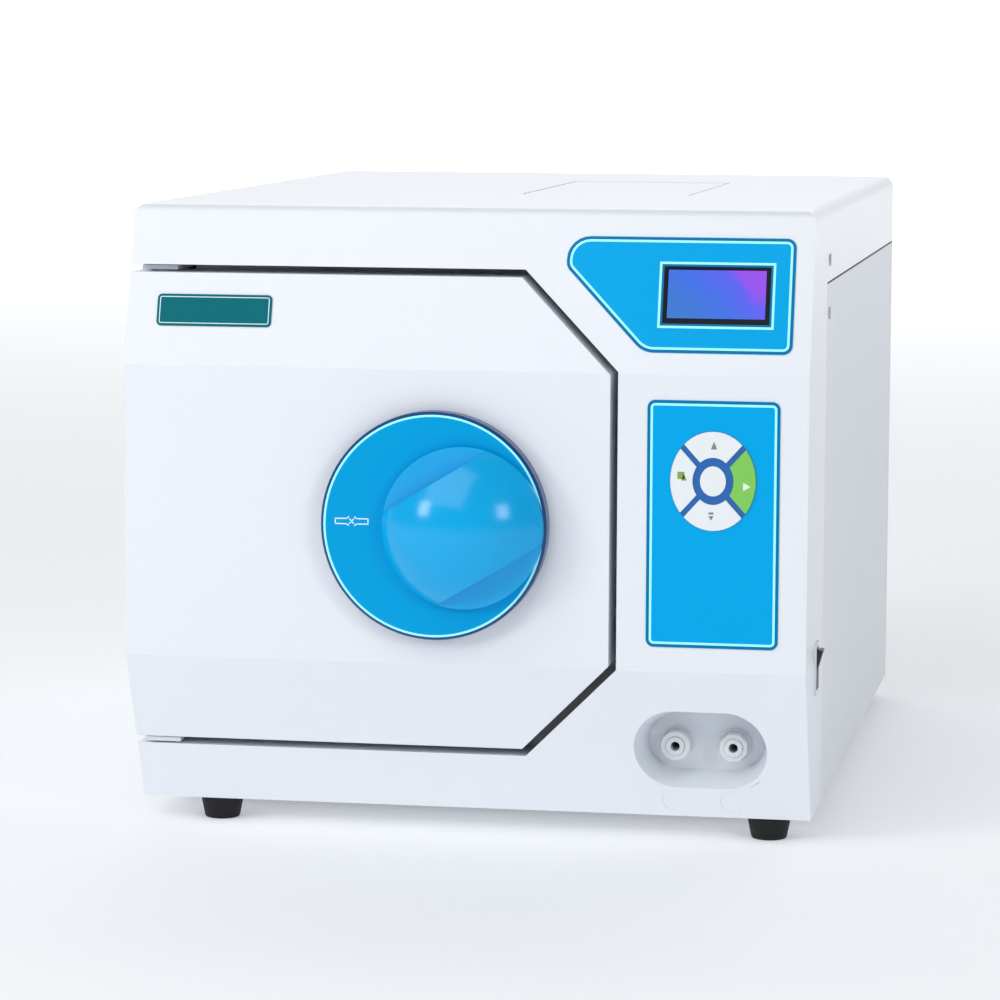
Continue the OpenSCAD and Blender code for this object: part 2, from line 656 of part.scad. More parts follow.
module door_cover() color("white") in_cabinet() difference() {
    intersection() {
        cabinet_solid(0, -1, door_d);
        along_y(-1, door_d) door_shape(0);
    }
    intersection() {
        cabinet_solid(mould_t, -1, door_d + 1);
        along_y(-1, door_d + 1) door_shape(mould_t);
    }
    rod_y(knob_x, knob_z, spindle_d + 1, -2, mould_t + 1);
    translate([hinge_x, hinge_setback, door_bottom - 1]) cylinder(d = hinge_pin_d + 4, h = mould_t + 2);
    translate([hinge_x, hinge_setback, door_top - mould_t - 1])
        cylinder(d = hinge_pin_d + 4, h = mould_t + 2);
    for (s = [-1, 1])
        rod_x(bolt_y, knob_z + s * bolt_spread / 2, bolt_d + 1, door_right - mould_t - 1, door_right + 1);
}
module door_frame() color("slategray") in_cabinet() difference() {
    union() {
        along_y(door_frame_y, door_frame_y + door_frame_t) door_shape(mould_t + slide_fit);
        for (z = [door_bottom + mould_t + 0.5, door_top - mould_t - 0.5 - 32])
            block([hinge_x - 11, hinge_setback - 8.5, z], [hinge_x + 11, door_frame_y + 1, z + 32]);
        rod_y(knob_x, knob_z, spindle_d + 12, slide_y + slide_t + 1, door_frame_y + 1);
    }
    translate([hinge_x, hinge_setback, door_bottom]) cylinder(d = hinge_pin_d + 2 * fit, h = pin_reach + 1);
    translate([hinge_x, hinge_setback, door_top - pin_reach - 1])
        cylinder(d = hinge_pin_d + 2 * fit, h = pin_reach + 1);
    rod_y(knob_x, knob_z, spindle_d + 2 * fit, slide_y, door_frame_y + door_frame_t + 1);
}
module door_back_cover() color("white") in_cabinet() difference() {
    along_y(door_d - 2, door_d) door_shape(mould_t + slide_fit);
    rod_y(chamber_x, chamber_z, 101, door_d - 3, door_d + 1);
    for (z = [door_bottom + mould_t, door_top - mould_t - 33])
        block([-W, door_d - 3, z], [hinge_x - 12, door_d - 2.5, z + 33]);
}
module pressure_plate() color("silver") in_cabinet() difference() {
    union() {
        rod_y(chamber_x, chamber_z, 2 * plate_r, plate_y, plate_y + 8);
        rod_y(chamber_x, chamber_z, 100, door_frame_y + door_frame_t, plate_y + 1);
    }
    chamber_ring(seal_r - 4, seal_r + 4, plate_y + 6, plate_y + 9);
}
module door_seal() color("white") in_cabinet()
    chamber_ring(seal_r - 4, seal_r + 4, plate_y + 6, flange_y - slide_fit);

module escutcheon() color("deepskyblue") in_cabinet() difference() {
    rod_y(disc_x, knob_z, disc_d, -disc_t, 0);
    rod_y(knob_x, knob_z, spindle_d + 1, -disc_t - 1, 1);
}
knob_base_t = 6;
knob_back = -disc_t - knob_gap;
dome_r = (pow(knob_d / 2, 2) + pow(dome_h, 2)) / (2 * dome_h);
module knob() color("deepskyblue") in_cabinet() translate([knob_x, 0, knob_z]) difference() {
    union() {
        rod_y(0, 0, knob_d, knob_back - knob_base_t, knob_back);
        intersection() {
            translate([0, -disc_t - knob_h + dome_r, 0]) sphere(dome_r, $fn = 96);
            rod_y(0, 0, knob_d, -disc_t - knob_h - 1, knob_back - 1);
            rotate([0, -knob_angle, 0]) along_x(-knob_d, knob_d) polygon([for (s = [-1, 1], end = [0, 1])
                let (y = (s < 0) == (end > 0) ? knob_back : -disc_t - knob_h - 0.5)
                    [y, s * (knob_flat / 2 + knob_slope * (y + disc_t + knob_h))]]);
        }
    }
    rod_y(0, 0, spindle_d, -disc_t - 18, 0);
}
function spiral(side) = [for (k = [0:32]) let (
    a = lock_turn * k / 32,
    r = slot_r + bolt_travel * k / 32,
    half = (follower_d / 2 + 0.5) / cos(atan(spiral_rise / r))
) (r + side * half) * [cos(a), sin(a)]];
function reversed(list) = [for (k = [len(list) - 1:-1:0]) list[k]];
module lock_cam() color("silver") in_cabinet() translate([knob_x, 0, knob_z]) {
    rod_y(0, 0, spindle_d, -disc_t - 17.5, door_frame_y + door_frame_t + 1);
    difference() {
        rod_y(0, 0, 2 * cam_r, cam_y, cam_y + cam_t);
        along_y(cam_y - 1, cam_y + cam_t + 1) polygon(concat(spiral(1), reversed(spiral(-1))));
        for (k = [0, 1]) rotate([0, -lock_turn * k, 0])
            rod_y(slot_r + bolt_travel * k, 0, follower_d + 1, cam_y - 1, cam_y + cam_t + 1);
    }
}
module lock_slide() color("silver") in_cabinet() {
    rod_y(knob_x + slot_r, knob_z, follower_d, cam_y + 1, slide_y + 1);
    block([knob_x + slot_r - 6, slide_y, knob_z - 8], [bolt_start_x + 1, slide_y + slide_t, knob_z + 8]);
    block([bolt_start_x, slide_y, knob_z - bolt_spread / 2], [bolt_start_x + slide_bar_w,
        slide_y + slide_t, knob_z + bolt_spread / 2]);
    for (s = [-1, 1]) rod_x(bolt_y, knob_z + s * bolt_spread / 2, bolt_d, bolt_start_x, bolt_end_x);
}
module lock_guides() color("goldenrod") in_cabinet() for (s = [-1, 1]) difference() {
    x1 = door_right - mould_t - 0.5;
    z = knob_z + s * bolt_spread / 2;
    block([x1 - 9, bolt_y - 11, z - 13], [x1, door_frame_y, z + 13]);
    rod_x(bolt_y, z, bolt_d + 2 * fit, x1 - 10, x1 + 1);
}
module brand_plate() color("teal") in_cabinet() on_upper_facet()
    along_y(-0.8, 0) polygon(rounded(rectangle(-W + 20, 26, -W + 96, 47), [3, 3, 3, 3]));

// ---------- Water ----------

module water_tank() color("whitesmoke") in_cabinet() difference() {
    outer = [[lid_x0 + 6, tank_shelf_z], [column_x, tank_shelf_z], [column_x, tank_low_z],
             [tank_x1, tank_low_z], [tank_x1, tank_top], [lid_x0 + 6, tank_top]];
    along_y(lid_front + 5, lid_back + 5) polygon(outer);
    along_y(lid_front + 5 + tank_t, lid_back + 5 - tank_t) polygon(inset(outer, tank_t));
    block([lid_x0 + mouth_in, lid_front + mouth_in, tank_top - tank_t - 1],
          [lid_x0 + lid_w - mouth_in, lid_back - mouth_in, tank_top + 1]);
}
module filling_lid() color("white") in_cabinet() {
    axis_y = lid_back - lid_t / 2;
    axis_z = body_h - lid_t / 2;
    translate([0, 0, body_h - lid_t]) linear_extrude(lid_t) intersection() {
        lid_outline(0);
        translate([lid_x0 - 1, 0]) square([lid_w + 2, axis_y]);
    }
    rod_x(axis_y, axis_z, lid_t, lid_x0, lid_x0 + lid_w);
    rod_x(axis_y, axis_z, 2.4, lid_x0 - 2.5, lid_x0 + lid_w + 2.5);
}
module waste_tank() color("whitesmoke") in_cabinet() difference() {
    block([W - 104, 225, floor_z], [W - 8, 405, 150]);
    block([W - 104 + tank_t, 225 + tank_t, floor_z + tank_t], [W - 8 - tank_t, 405 - tank_t, 150 - tank_t]);
    for (s = [-1, 1]) rod_y(well_x + s * coupler_pitch / 2, coupler_z, 9, 224, 225 + tank_t + 1);
}

// ---------- Pumps, valves and rear ----------

module water_pump() color("dimgray") in_cabinet() {
    block([W - 42, 140, floor_z], [W - 10, 190, floor_z + 8]);
    rod_y(W - 26, floor_z + 24, 34, 135, 195);
    rod_y(W - 26, floor_z + 24, 10, 194, 215);
}
module vacuum_pump() color("gray") in_cabinet() {
    block([W - 98, 430, floor_z], [W - 18, 560, floor_z + 16]);
    rod_y(W - 58, floor_z + 57, 84, 432, 520);
    block([W - 92, 519, floor_z + 15], [W - 24, 560, floor_z + 105]);
}
module valve_block() color("goldenrod") in_cabinet() {
    block([W - 98, 240, 150], [W - 14, 300, 172]);
    for (k = [0:2]) translate([W - 84 + 28 * k, 270, 171]) {
        cylinder(d = 12, h = 50);
        block([-11, -14, 5], [11, 14, 40]);
    }
}
module condenser() color("silver") in_cabinet() {
    for (x = [W - 118, W - 8]) block([x - 1, fan_y - 32, floor_z], [x + 1, fan_y - 2, floor_z + 130]);
    for (k = [1:12]) block([W - 118 + 8.4 * k, fan_y - 30, floor_z + 2],
                           [W - 117.2 + 8.4 * k, fan_y - 4, floor_z + 128]);
    for (k = [0:4]) rod_x(fan_y - 17, floor_z + 15 + 25 * k, 10, W - 118, W - 8);
}
module cooling_fan() color("dimgray") in_cabinet() translate([fan_x, 0, fan_z]) difference() {
    union() {
        difference() {
            block([-60, fan_y, -60], [60, rear_y, 60]);
            rod_y(0, 0, fan_d, fan_y - 1, rear_y + 1);
        }
        for (k = [0:3]) rotate([0, 45 + 90 * k, 0]) block([15, rear_y - 6, -3], [fan_d / 2 + 2, rear_y, 3]);
        rod_y(0, 0, hub_d, rear_y - 8, rear_y);
        for (r = [24, 36, 48]) difference() {
            rod_y(0, 0, 2 * r + 2.5, rear_y - 2, rear_y);
            rod_y(0, 0, 2 * r - 2.5, rear_y - 3, rear_y + 1);
        }
    }
    rod_y(0, 0, 4 + 2 * fit, fan_y, rear_y + 1);
}
module fan_rotor() color("black") in_cabinet() translate([fan_x, 0, fan_z]) {
    rod_y(0, 0, hub_d, fan_y + 3, rear_y - 9);
    rod_y(0, 0, 4, rear_y - 10, rear_y - 1);
    for (k = [0:6]) rotate([0, k * 360 / 7, 0]) translate([0, fan_y + 15, 0]) rotate([35, 0, 0])
        block([hub_d / 2 - 4, -11, -1], [fan_d / 2 - 3.5, 11, 1]);
}
module mains_board() color("darkgreen") in_cabinet() {
    block([W - 112, rear_y - 16, 200], [W - 12, rear_y - 14.4, 320]);
    for (x = [W - 106, W - 18], z = [206, 314]) rod_y(x, z, 6, rear_y - 14.5, rear_y);
    block([W - 105, rear_y - 50, 215], [W - 60, rear_y - 16, 265]);
    for (z = [222, 248]) rod_y(W - 35, z, 22, rear_y - 50, rear_y - 16);
}
module mains_inlet() color("black") in_cabinet() difference() {
    union() {
        block([inlet_x - 30, body_d, inlet_z - 20], [inlet_x + 30, body_d + 2.5, inlet_z + 20]);
        block([inlet_x - 23.8, rear_y - 24, inlet_z - 15.8], [inlet_x + 23.8, body_d + 1, inlet_z + 15.8]);
    }
    block([inlet_x - 12, rear_y - 14, inlet_z - 8], [inlet_x + 12, body_d + 3, inlet_z + 8]);
}
module power_switch_body() color("black") in_cabinet() difference() {
    union() {
        block([W - 22, switch_y - switch_w / 2 - 1, switch_z - switch_h / 2 - 1],
              [W + 0.5, switch_y + switch_w / 2 + 1, switch_z + switch_h / 2 + 1]);
        block([W, switch_y - switch_w / 2 - 3, switch_z - switch_h / 2 - 3],
              [W + 1, switch_y + switch_w / 2 + 3, switch_z + switch_h / 2 + 3]);
    }
    block([W - 18, switch_y - switch_w / 2, switch_z - switch_h / 2],
          [W + 2, switch_y + switch_w / 2, switch_z + switch_h / 2]);
    rod_y(rocker_pivot_x, switch_z, rocker_pin_d + 2 * fit, switch_y - switch_w, switch_y + switch_w);
}
module power_rocker() color("black") in_cabinet() translate([rocker_pivot_x, 0, switch_z]) {
    rotate([0, rocker_tilt, 0]) along_y(switch_y - switch_w / 2 + 0.3, switch_y + switch_w / 2 - 0.3)
        polygon([[-6, -4], [2.5, 1 - switch_h / 2], [5.2, 1 - switch_h / 2], [3.4, 0],
                 [5.2, switch_h / 2 - 1], [2.5, switch_h / 2 - 1], [-6, 4]]);
    rod_y(0, 0, rocker_pin_d, switch_y - switch_w / 2 - 0.8, switch_y + switch_w / 2 + 0.8);
}
module safety_valve() color("goldenrod") in_cabinet() difference() {
    union() {
        rod_y(valve_x, valve_z, 14, rear_y - 30, body_d + 10);
        rod_y(valve_x, valve_z, 20, body_d, body_d + 4);
        rod_y(valve_x, valve_z, 22, rear_y - 6, rear_y);
    }
    rod_y(valve_x, valve_z, valve_bore, rear_y - 31, body_d + 11);
}
module safety_valve_cap() color("firebrick") in_cabinet() {
    rod_y(valve_x, valve_z, valve_bore - 2 * fit, body_d, body_d + 12);
    rod_y(valve_x, valve_z, 18, body_d + 11, body_d + rear_proud - 4);
}
module rear_fittings() color("silver") in_cabinet() for (p = rear_ports()) difference() {
    union() {
        rod_y(p.x, p.y, vent_d + 4, rear_y - 10, body_d + rear_proud);
        rod_y(p.x, p.y, vent_d + 12, body_d, body_d + 4);
    }
    rod_y(p.x, p.y, vent_d, rear_y - 11, body_d + rear_proud + 1);
}

front_bezel();
left_side_panel();
right_side_panel();
top_cover();
rear_panel();
base_tray();
front_frame();
feet();
screws();
display_overlay();
lcd_window();
lcd_module();
keypad_overlay();
key_up();
key_left();
key_right();
key_down();
key_centre();
control_board();
drain_well();
drain_couplers();
release_sleeve_left();
release_sleeve_right();
drain_hoses();
chamber();
flange_bolts();
heater_band();
insulation_jacket();
chamber_saddles();
tray_rack();
trays();
hinge_brackets();
lock_keeper();
door_cover();
door_frame();
door_back_cover();
pressure_plate();
door_seal();
escutcheon();
knob();
lock_cam();
lock_slide();
lock_guides();
brand_plate();
water_tank();
filling_lid();
waste_tank();
water_pump();
vacuum_pump();
valve_block();
condenser();
cooling_fan();
fan_rotor();
mains_board();
mains_inlet();
power_switch_body();
power_rocker();
safety_valve();
safety_valve_cap();
rear_fittings();
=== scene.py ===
# %% [markdown]
# # A benchtop autoclave
# The machine is a white moulded cabinet with a slanted display panel, a door with a round blue
# knob, an oval key group and a small well with two drain couplers. The frame brings its real
# solids. This lesson dresses them: moulded shells get soft edges, printed films get their line
# work, and every finish is a small procedural material.

# %% Load the frame
import math

import bmesh
import bpy
from mathutils import Matrix, Vector


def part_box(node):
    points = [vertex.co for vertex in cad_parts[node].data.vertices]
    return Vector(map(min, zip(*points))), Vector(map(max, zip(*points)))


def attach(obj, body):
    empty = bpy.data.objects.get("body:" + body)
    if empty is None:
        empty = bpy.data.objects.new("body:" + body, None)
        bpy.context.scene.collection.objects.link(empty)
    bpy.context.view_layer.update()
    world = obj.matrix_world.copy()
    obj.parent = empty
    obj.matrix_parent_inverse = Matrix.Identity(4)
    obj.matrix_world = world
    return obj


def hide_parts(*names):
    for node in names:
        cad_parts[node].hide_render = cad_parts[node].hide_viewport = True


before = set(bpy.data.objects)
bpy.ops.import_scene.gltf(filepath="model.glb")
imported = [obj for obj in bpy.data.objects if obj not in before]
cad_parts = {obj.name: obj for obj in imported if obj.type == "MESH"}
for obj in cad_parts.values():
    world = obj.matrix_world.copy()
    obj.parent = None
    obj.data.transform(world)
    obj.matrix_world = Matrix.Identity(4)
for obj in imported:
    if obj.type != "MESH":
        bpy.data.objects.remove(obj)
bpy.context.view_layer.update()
scene = bpy.context.scene
MM = 0.001

# %% [markdown]
# ## Camera
# The machine is seen from the right of its front and from a little above its top, through a long
# lens, so its vertical edges stay nearly parallel. The camera's place is given from the door's
# front plane and the underside, and a roll of a fraction of a degree levels the front edge.

# %% Camera
front_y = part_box("door_cover")[0].y
bench_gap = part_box("front_bezel")[0].z
CAMERA_PLACE = Vector((0.4662, front_y - 2.4726, bench_gap + 0.5079))
CAMERA_YAW = math.radians(10.11)
CAMERA_PITCH = math.radians(-6.773)
CAMERA_ROLL = math.radians(-0.241)
SENSOR_WIDTH = 36    # mm
FOCAL_RATIO = 3.958  # focal length over sensor width
camera_data = bpy.data.cameras.new("camera")
camera_data.sensor_width = SENSOR_WIDTH
camera_data.lens = SENSOR_WIDTH * FOCAL_RATIO
camera = bpy.data.objects.new("camera", camera_data)
scene.collection.objects.link(camera)
camera.matrix_world = (Matrix.Translation(CAMERA_PLACE)
                       @ Matrix.Rotation(CAMERA_YAW, 4, "Z")
                       @ Matrix.Rotation(math.pi / 2 + CAMERA_PITCH, 4, "X")
                       @ Matrix.Rotation(-CAMERA_ROLL, 4, "Z"))
scene.camera = camera

# %% [markdown]
# ## Studio
# Product shots of white goods use a pale floor that runs into the background and one large soft
# light high on the left and front, with a dim even world to fill the shadows. Two soft boxes, one
# on each side of the camera, give the glossy knob its two highlights. Weak lights lift the top and
# the right side, and two strong ones whiten the backdrop and the far floor.

# %% Studio
def area_light(name, place, target, size, power, tint=(1, 1, 1)):
    """A soft rectangular light that looks from place to target."""
    data = bpy.data.lights.new(name, "AREA")
    data.shape = "RECTANGLE"
    data.size, data.size_y = size
    data.energy = power
    data.color = tint
    light = bpy.data.objects.new(name, data)
    light.location = place
    light.rotation_euler = (Vector(target) - Vector(place)).to_track_quat("-Z", "Y").to_euler()
    scene.collection.objects.link(light)
    return light


MIDDLE = (0, 0, 0.2)
area_light("key_light", (-0.9, -2.0, 2.2), MIDDLE, (2.4, 2.4), 34)
area_light("left_softbox", (-2.35, -2.3, 1.1), (0, -0.3, 0.2), (0.7, 0.8), 17)
area_light("right_softbox", (2.2, -2.4, 1.1), (0, -0.3, 0.2), (0.7, 0.8), 14)
area_light("top_light", (0.2, 0.5, 2.2), (0, 0.1, 0.4), (1.6, 1.6), 1.5)
area_light("side_light", (2.6, 0.3, 0.9), MIDDLE, (1.6, 1.6), 1, (0.93, 0.96, 1.0))
area_light("backdrop_light", (0, 7, 6), (0, 16, 3), (12, 4), 420)
area_light("far_floor_light", (0, 7.5, 5), (0, 7.5, 0), (14, 8), 480)
world = bpy.data.worlds.new("studio")
world.use_nodes = True
world.node_tree.nodes["Background"].inputs["Color"].default_value = (0.93, 0.96, 1.0, 1)
world.node_tree.nodes["Background"].inputs["Strength"].default_value = 0.26
scene.world = world
scene.view_settings.view_transform = "Standard"

# %% [markdown]
# ## Shader groups
# Two effects come back in nearly every finish, so each is a node group. One gives a moulded or
# brushed surface its fine relief as a normal and lets the roughness wander. The other lets a
# colour drift a little over the surface, because no real panel has exactly one colour.

# %% Shader groups
def new_group(name, inputs, outputs):
    """A shader node group with named sockets: (name, socket type, default or None)."""
    group = bpy.data.node_groups.new(name, "ShaderNodeTree")
    for direction, sockets in (("INPUT", inputs), ("OUTPUT", outputs)):
        for label, kind, default in sockets:
            socket = group.interface.new_socket(name=label, in_out=direction, socket_type=kind)
            if default is not None:
                socket.default_value = default
    return group, group.nodes.new("NodeGroupInput"), group.nodes.new("NodeGroupOutput")


def noise(tree, scale, detail=3.0):
    """A noise texture on Object coordinates; scale is a number or a socket."""
    coords = tree.nodes.new("ShaderNodeTexCoord")
    texture = tree.nodes.new("ShaderNodeTexNoise")
    texture.inputs["Detail"].default_value = detail
    tree.links.new(coords.outputs["Object"], texture.inputs["Vector"])
    if isinstance(scale, (int, float)):
        texture.inputs["Scale"].default_value = scale
    else:
        tree.links.new(scale, texture.inputs["Scale"])
    return texture


def make_relief_group():
    """Fine relief: a normal, and a roughness that wanders around its middle value."""
    group, start, end = new_group(
        "fine_relief",
        [("Scale", "NodeSocketFloat", 900.0), ("Depth", "NodeSocketFloat", 0.1),
         ("Roughness", "NodeSocketFloat", 0.4), ("Spread", "NodeSocketFloat", 0.06)],
        [("Normal", "NodeSocketVector", None), ("Roughness", "NodeSocketFloat", None)])
    grain = noise(group, start.outputs["Scale"])
    bump = group.nodes.new("ShaderNodeBump")
    bump.inputs["Distance"].default_value = 0.0004
    group.links.new(start.outputs["Depth"], bump.inputs["Strength"])
    group.links.new(grain.outputs["Fac"], bump.inputs["Height"])
    group.links.new(bump.outputs["Normal"], end.inputs["Normal"])
    smudges = noise(group, 14.0, 5.0)
    centred = group.nodes.new("ShaderNodeMath")
    centred.operation = "SUBTRACT"
    centred.inputs[1].default_value = 0.5
    group.links.new(smudges.outputs["Fac"], centred.inputs[0])
    spread = group.nodes.new("ShaderNodeMath")
    spread.operation = "MULTIPLY_ADD"
    group.links.new(centred.outputs[0], spread.inputs[0])
    group.links.new(start.outputs["Spread"], spread.inputs[1])
    group.links.new(start.outputs["Roughness"], spread.inputs[2])
    group.links.new(spread.outputs[0], end.inputs["Roughness"])
    return group


def make_drift_group():
    """A colour that drifts between two close tones over the surface."""
    group, start, end = new_group(
        "colour_drift",
        [("Colour", "NodeSocketColor", (1, 1, 1, 1)), ("Second", "NodeSocketColor", (1, 1, 1, 1)),
         ("Scale", "NodeSocketFloat", 5.0)],
        [("Colour", "NodeSocketColor", None)])
    cloud = noise(group, start.outputs["Scale"], 2.0)
    mix = group.nodes.new("ShaderNodeMix")
    mix.data_type = "RGBA"
    group.links.new(cloud.outputs["Fac"], mix.inputs["Factor"])
    group.links.new(start.outputs["Colour"], mix.inputs["A"])
    group.links.new(start.outputs["Second"], mix.inputs["B"])
    group.links.new(mix.outputs["Result"], end.inputs["Colour"])
    return group


RELIEF = make_relief_group()
DRIFT = make_drift_group()
print("groups:", RELIEF.name, DRIFT.name)

# %% [markdown]
# ## Finishes
# One function builds a finish from what a maker would name: its two tones, how rough it is, how
# deep its relief lies and whether it has a clear coat. Plain numbers go straight on the shader's
# own sockets; only what changes over the surface comes through the groups.

# %% Finishes
def tinted(colour, factor):
    """A colour made lighter or darker, with its alpha."""
    return tuple(min(1.0, part * factor) for part in colour[:3]) + (1.0,)


def finish(name, colour, rough=0.4, drift=0.05, scale=900.0, depth=0.1, metal=0.0, coat=0.0,
           glow=0.0, coat_rough=0.08, spread=0.06, shine=0.5):
    """A Principled material with drifting colour, wandering roughness and fine relief."""
    material = bpy.data.materials.new(name)
    material.use_nodes = True
    tree = material.node_tree
    shader = tree.nodes["Principled BSDF"]
    colours = tree.nodes.new("ShaderNodeGroup")
    colours.node_tree = DRIFT
    colours.inputs["Colour"].default_value = tinted(colour, 1 - drift)
    colours.inputs["Second"].default_value = tinted(colour, 1 + drift)
    relief = tree.nodes.new("ShaderNodeGroup")
    relief.node_tree = RELIEF
    relief.inputs["Scale"].default_value = scale
    relief.inputs["Depth"].default_value = depth
    relief.inputs["Roughness"].default_value = rough
    relief.inputs["Spread"].default_value = spread
    tree.links.new(colours.outputs["Colour"], shader.inputs["Base Color"])
    tree.links.new(relief.outputs["Roughness"], shader.inputs["Roughness"])
    tree.links.new(relief.outputs["Normal"], shader.inputs["Normal"])
    shader.inputs["Metallic"].default_value = metal
    shader.inputs["Specular IOR Level"].default_value = shine
    if coat:
        shader.inputs["Coat Weight"].default_value = coat
        shader.inputs["Coat Roughness"].default_value = coat_rough
    # A glow gives off light of its own: an even glow for the floor, and a painted glow on printed
    # lines and ink.
    if glow:
        tree.links.new(colours.outputs["Colour"], shader.inputs["Emission Color"])
        shader.inputs["Emission Strength"].default_value = glow
    return material


WHITE = finish("moulded_white", (0.86, 0.895, 0.945), 0.34, 0.012, 2600, 0.05, coat=0.25,
               coat_rough=0.2)
PANEL = finish("powder_coat", (0.815, 0.85, 0.90), 0.42, 0.015, 1500, 0.12)
FILM = finish("printed_blue_film", (0.0, 0.41, 0.85), 0.4, 0.03, 1800, 0.03, shine=0.08)
FILM_EDGE = finish("film_dark_edge", (0.0, 0.20, 0.44), 0.4, 0.04, shine=0.1)
# A printed light line, with a painted glow on top of its own colour.
FILM_LINE_GLOW = finish("film_line_painted_glow", (0.36, 0.95, 1.0), 0.35, 0.02, glow=0.18)
KNOB_BLUE = finish("knob_blue", (0.0, 0.42, 0.84), 0.18, 0.03, 1500, 0.01, shine=0.4)
# Painted shade for the escutcheon's edge: a dark navy standing for the shaded side of the raised
# disc.
RIM_SHADE = finish("escutcheon_rim_painted_shade", (0.0, 0.06, 0.22), 0.2, 0.05, 1500, 0.02)
DISC_BLUE = finish("escutcheon_blue", (0.0, 0.37, 0.76), 0.35, 0.05, 1500, 0.02, shine=0.08)
KEY_WHITE = finish("key_white", (0.86, 0.91, 0.93), 0.38, 0.03, 1500, 0.04)
KEY_GREEN = finish("key_green", (0.22, 0.62, 0.10), 0.38, 0.08, 1500, 0.04)
KEY_BARS = finish("key_divider_blue", (0.01, 0.13, 0.46), 0.35, 0.05)
ICON_GREY = finish("icon_grey", (0.22, 0.24, 0.20), 0.5, 0.1)
ICON_GREEN = finish("icon_green", (0.25, 0.40, 0.08), 0.5, 0.15)
ICON_PALE = finish("icon_pale", (0.85, 0.95, 0.80), 0.4, 0.03)
# White print ink, with a painted glow on top of its own colour.
INK_WHITE_GLOW = finish("ink_white_painted_glow", (0.80, 0.92, 1.0), 0.4, 0.02, glow=0.1)
BEZEL_BLACK = finish("display_frame_black", (0.003, 0.004, 0.012), 0.3, 0.2, shine=0.15)
BADGE = finish("badge_teal", (0.0, 0.155, 0.185), 0.5, 0.05, shine=0.1)
FOOT = finish("foot_rubber", (0.012, 0.012, 0.014), 0.6, 0.15, 1400, 0.25, shine=0.25)
BLACK = finish("black_plastic", (0.02, 0.02, 0.024), 0.4, 0.15, 1600, 0.15)
SEAM_SHADE = finish("seam_painted_shade", (0.012, 0.012, 0.014), 0.6, 0.2, shine=0.2)
STEEL = finish("sheet_steel", (0.52, 0.53, 0.55), 0.34, 0.06, 700, 0.15, metal=1.0)
STAINLESS = finish("stainless_steel", (0.62, 0.62, 0.63), 0.24, 0.05, 500, 0.1, metal=1.0)
DARK_STEEL = finish("painted_frame", (0.10, 0.11, 0.13), 0.5, 0.1, 900, 0.2)
ALUMINIUM = finish("aluminium", (0.66, 0.67, 0.69), 0.38, 0.06, 800, 0.12, metal=1.0)
BRASS = finish("brass", (0.62, 0.40, 0.13), 0.3, 0.08, 600, 0.1, metal=1.0)
SILICONE = finish("silicone_seal", (0.72, 0.71, 0.67), 0.5, 0.04, 1200, 0.1)
TANK = finish("tank_plastic", (0.74, 0.78, 0.78), 0.45, 0.05, 900, 0.1)
HOSE = finish("hose_silicone", (0.66, 0.62, 0.48), 0.4, 0.06)
HEATER = finish("heater_mat", (0.50, 0.17, 0.05), 0.6, 0.1)
WOOL = finish("insulation_felt", (0.62, 0.55, 0.33), 0.95, 0.2, 300, 0.9)
BOARD = finish("circuit_board", (0.01, 0.10, 0.04), 0.4, 0.15)
PUMP = finish("pump_grey", (0.20, 0.21, 0.23), 0.45, 0.1, 700, 0.2)
RED = finish("valve_red", (0.45, 0.02, 0.01), 0.3, 0.05, coat=0.4)
COLLAR = finish("coupler_white", (0.78, 0.80, 0.82), 0.35, 0.04)
print("finishes:", len(bpy.data.materials))

# %% [markdown]
# ## Floor
# A studio's paper sweep: a wide matt floor that turns up far behind the machine in one soft curve,
# so no horizon shows. The back edge of a flat grid is extruded upwards and the fold is bevelled.

# %% Floor
FLOOR_HALF, WALL_HEIGHT, FOLD = 16, 14, 6   # metres
floor_mesh = bpy.data.meshes.new("floor")
bm = bmesh.new()
bmesh.ops.create_grid(bm, x_segments=1, y_segments=1, size=FLOOR_HALF)
back_edge = max(bm.edges, key=lambda edge: sum(v.co.y for v in edge.verts))
wall = bmesh.ops.extrude_edge_only(bm, edges=[back_edge])
bmesh.ops.translate(bm, verts=[v for v in wall["geom"] if isinstance(v, bmesh.types.BMVert)],
                    vec=(0, 0, WALL_HEIGHT))
bmesh.ops.bevel(bm, geom=[back_edge], offset=FOLD, offset_type="OFFSET", segments=24, profile=0.5,
                affect="EDGES", material=-1)
for face in bm.faces:
    face.smooth = True
bm.to_mesh(floor_mesh)
bm.free()
floor = bpy.data.objects.new("floor", floor_mesh)
scene.collection.objects.link(floor)
floor_mesh.materials.append(
    finish("paper_sweep", (0.79, 0.80, 0.815), 0.9, 0.005, 60, 0.02, glow=0.3))

# %% [markdown]
# ## Places on the cabinet
# Every place below is given in the cabinet's own millimetres: across from its middle, back from
# the door's front plane, and up from its underside. Flat plates that lie on the tilted panel get
# their axes from their own largest face.

# %% Places
def cab(across, back, up):
    """A point in cabinet millimetres as a point of the frame in metres."""
    return Vector((across * MM, front_y + back * MM, bench_gap + up * MM))


def plate_axes(node):
    """A flat node's matrix (x right, y up its face, z out of it, origin mid-face) and its size."""
    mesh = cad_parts[node].data
    largest = max((p for p in mesh.polygons if p.normal.y < -0.1), key=lambda p: p.area)
    outward = largest.normal.normalized()
    right = Vector((1, 0, 0))
    up = outward.cross(right)
    turned = Matrix((right, up, outward))
    local = [turned @ v.co for v in mesh.vertices]
    low = Vector(map(min, zip(*local)))
    high = Vector(map(max, zip(*local)))
    middle = (low + high) / 2
    middle.z = high.z
    turned = turned.transposed()
    return Matrix.Translation(turned @ middle) @ turned.to_4x4(), high - low


print("display plate, mm:", [round(side / MM, 1) for side in plate_axes("display_overlay")[1]])

# %% [markdown]
# ## Soft edges
# Injection moulded covers and folded sheet never have knife edges. A copy of the solid's mesh is
# merged, its flat triangles are dissolved into whole faces, and a Bevel modifier rounds the edges
# that a weight picks: the sharp ones, and the slight folds between two large faces. Normals
# weighted by face area keep the flat faces flat.

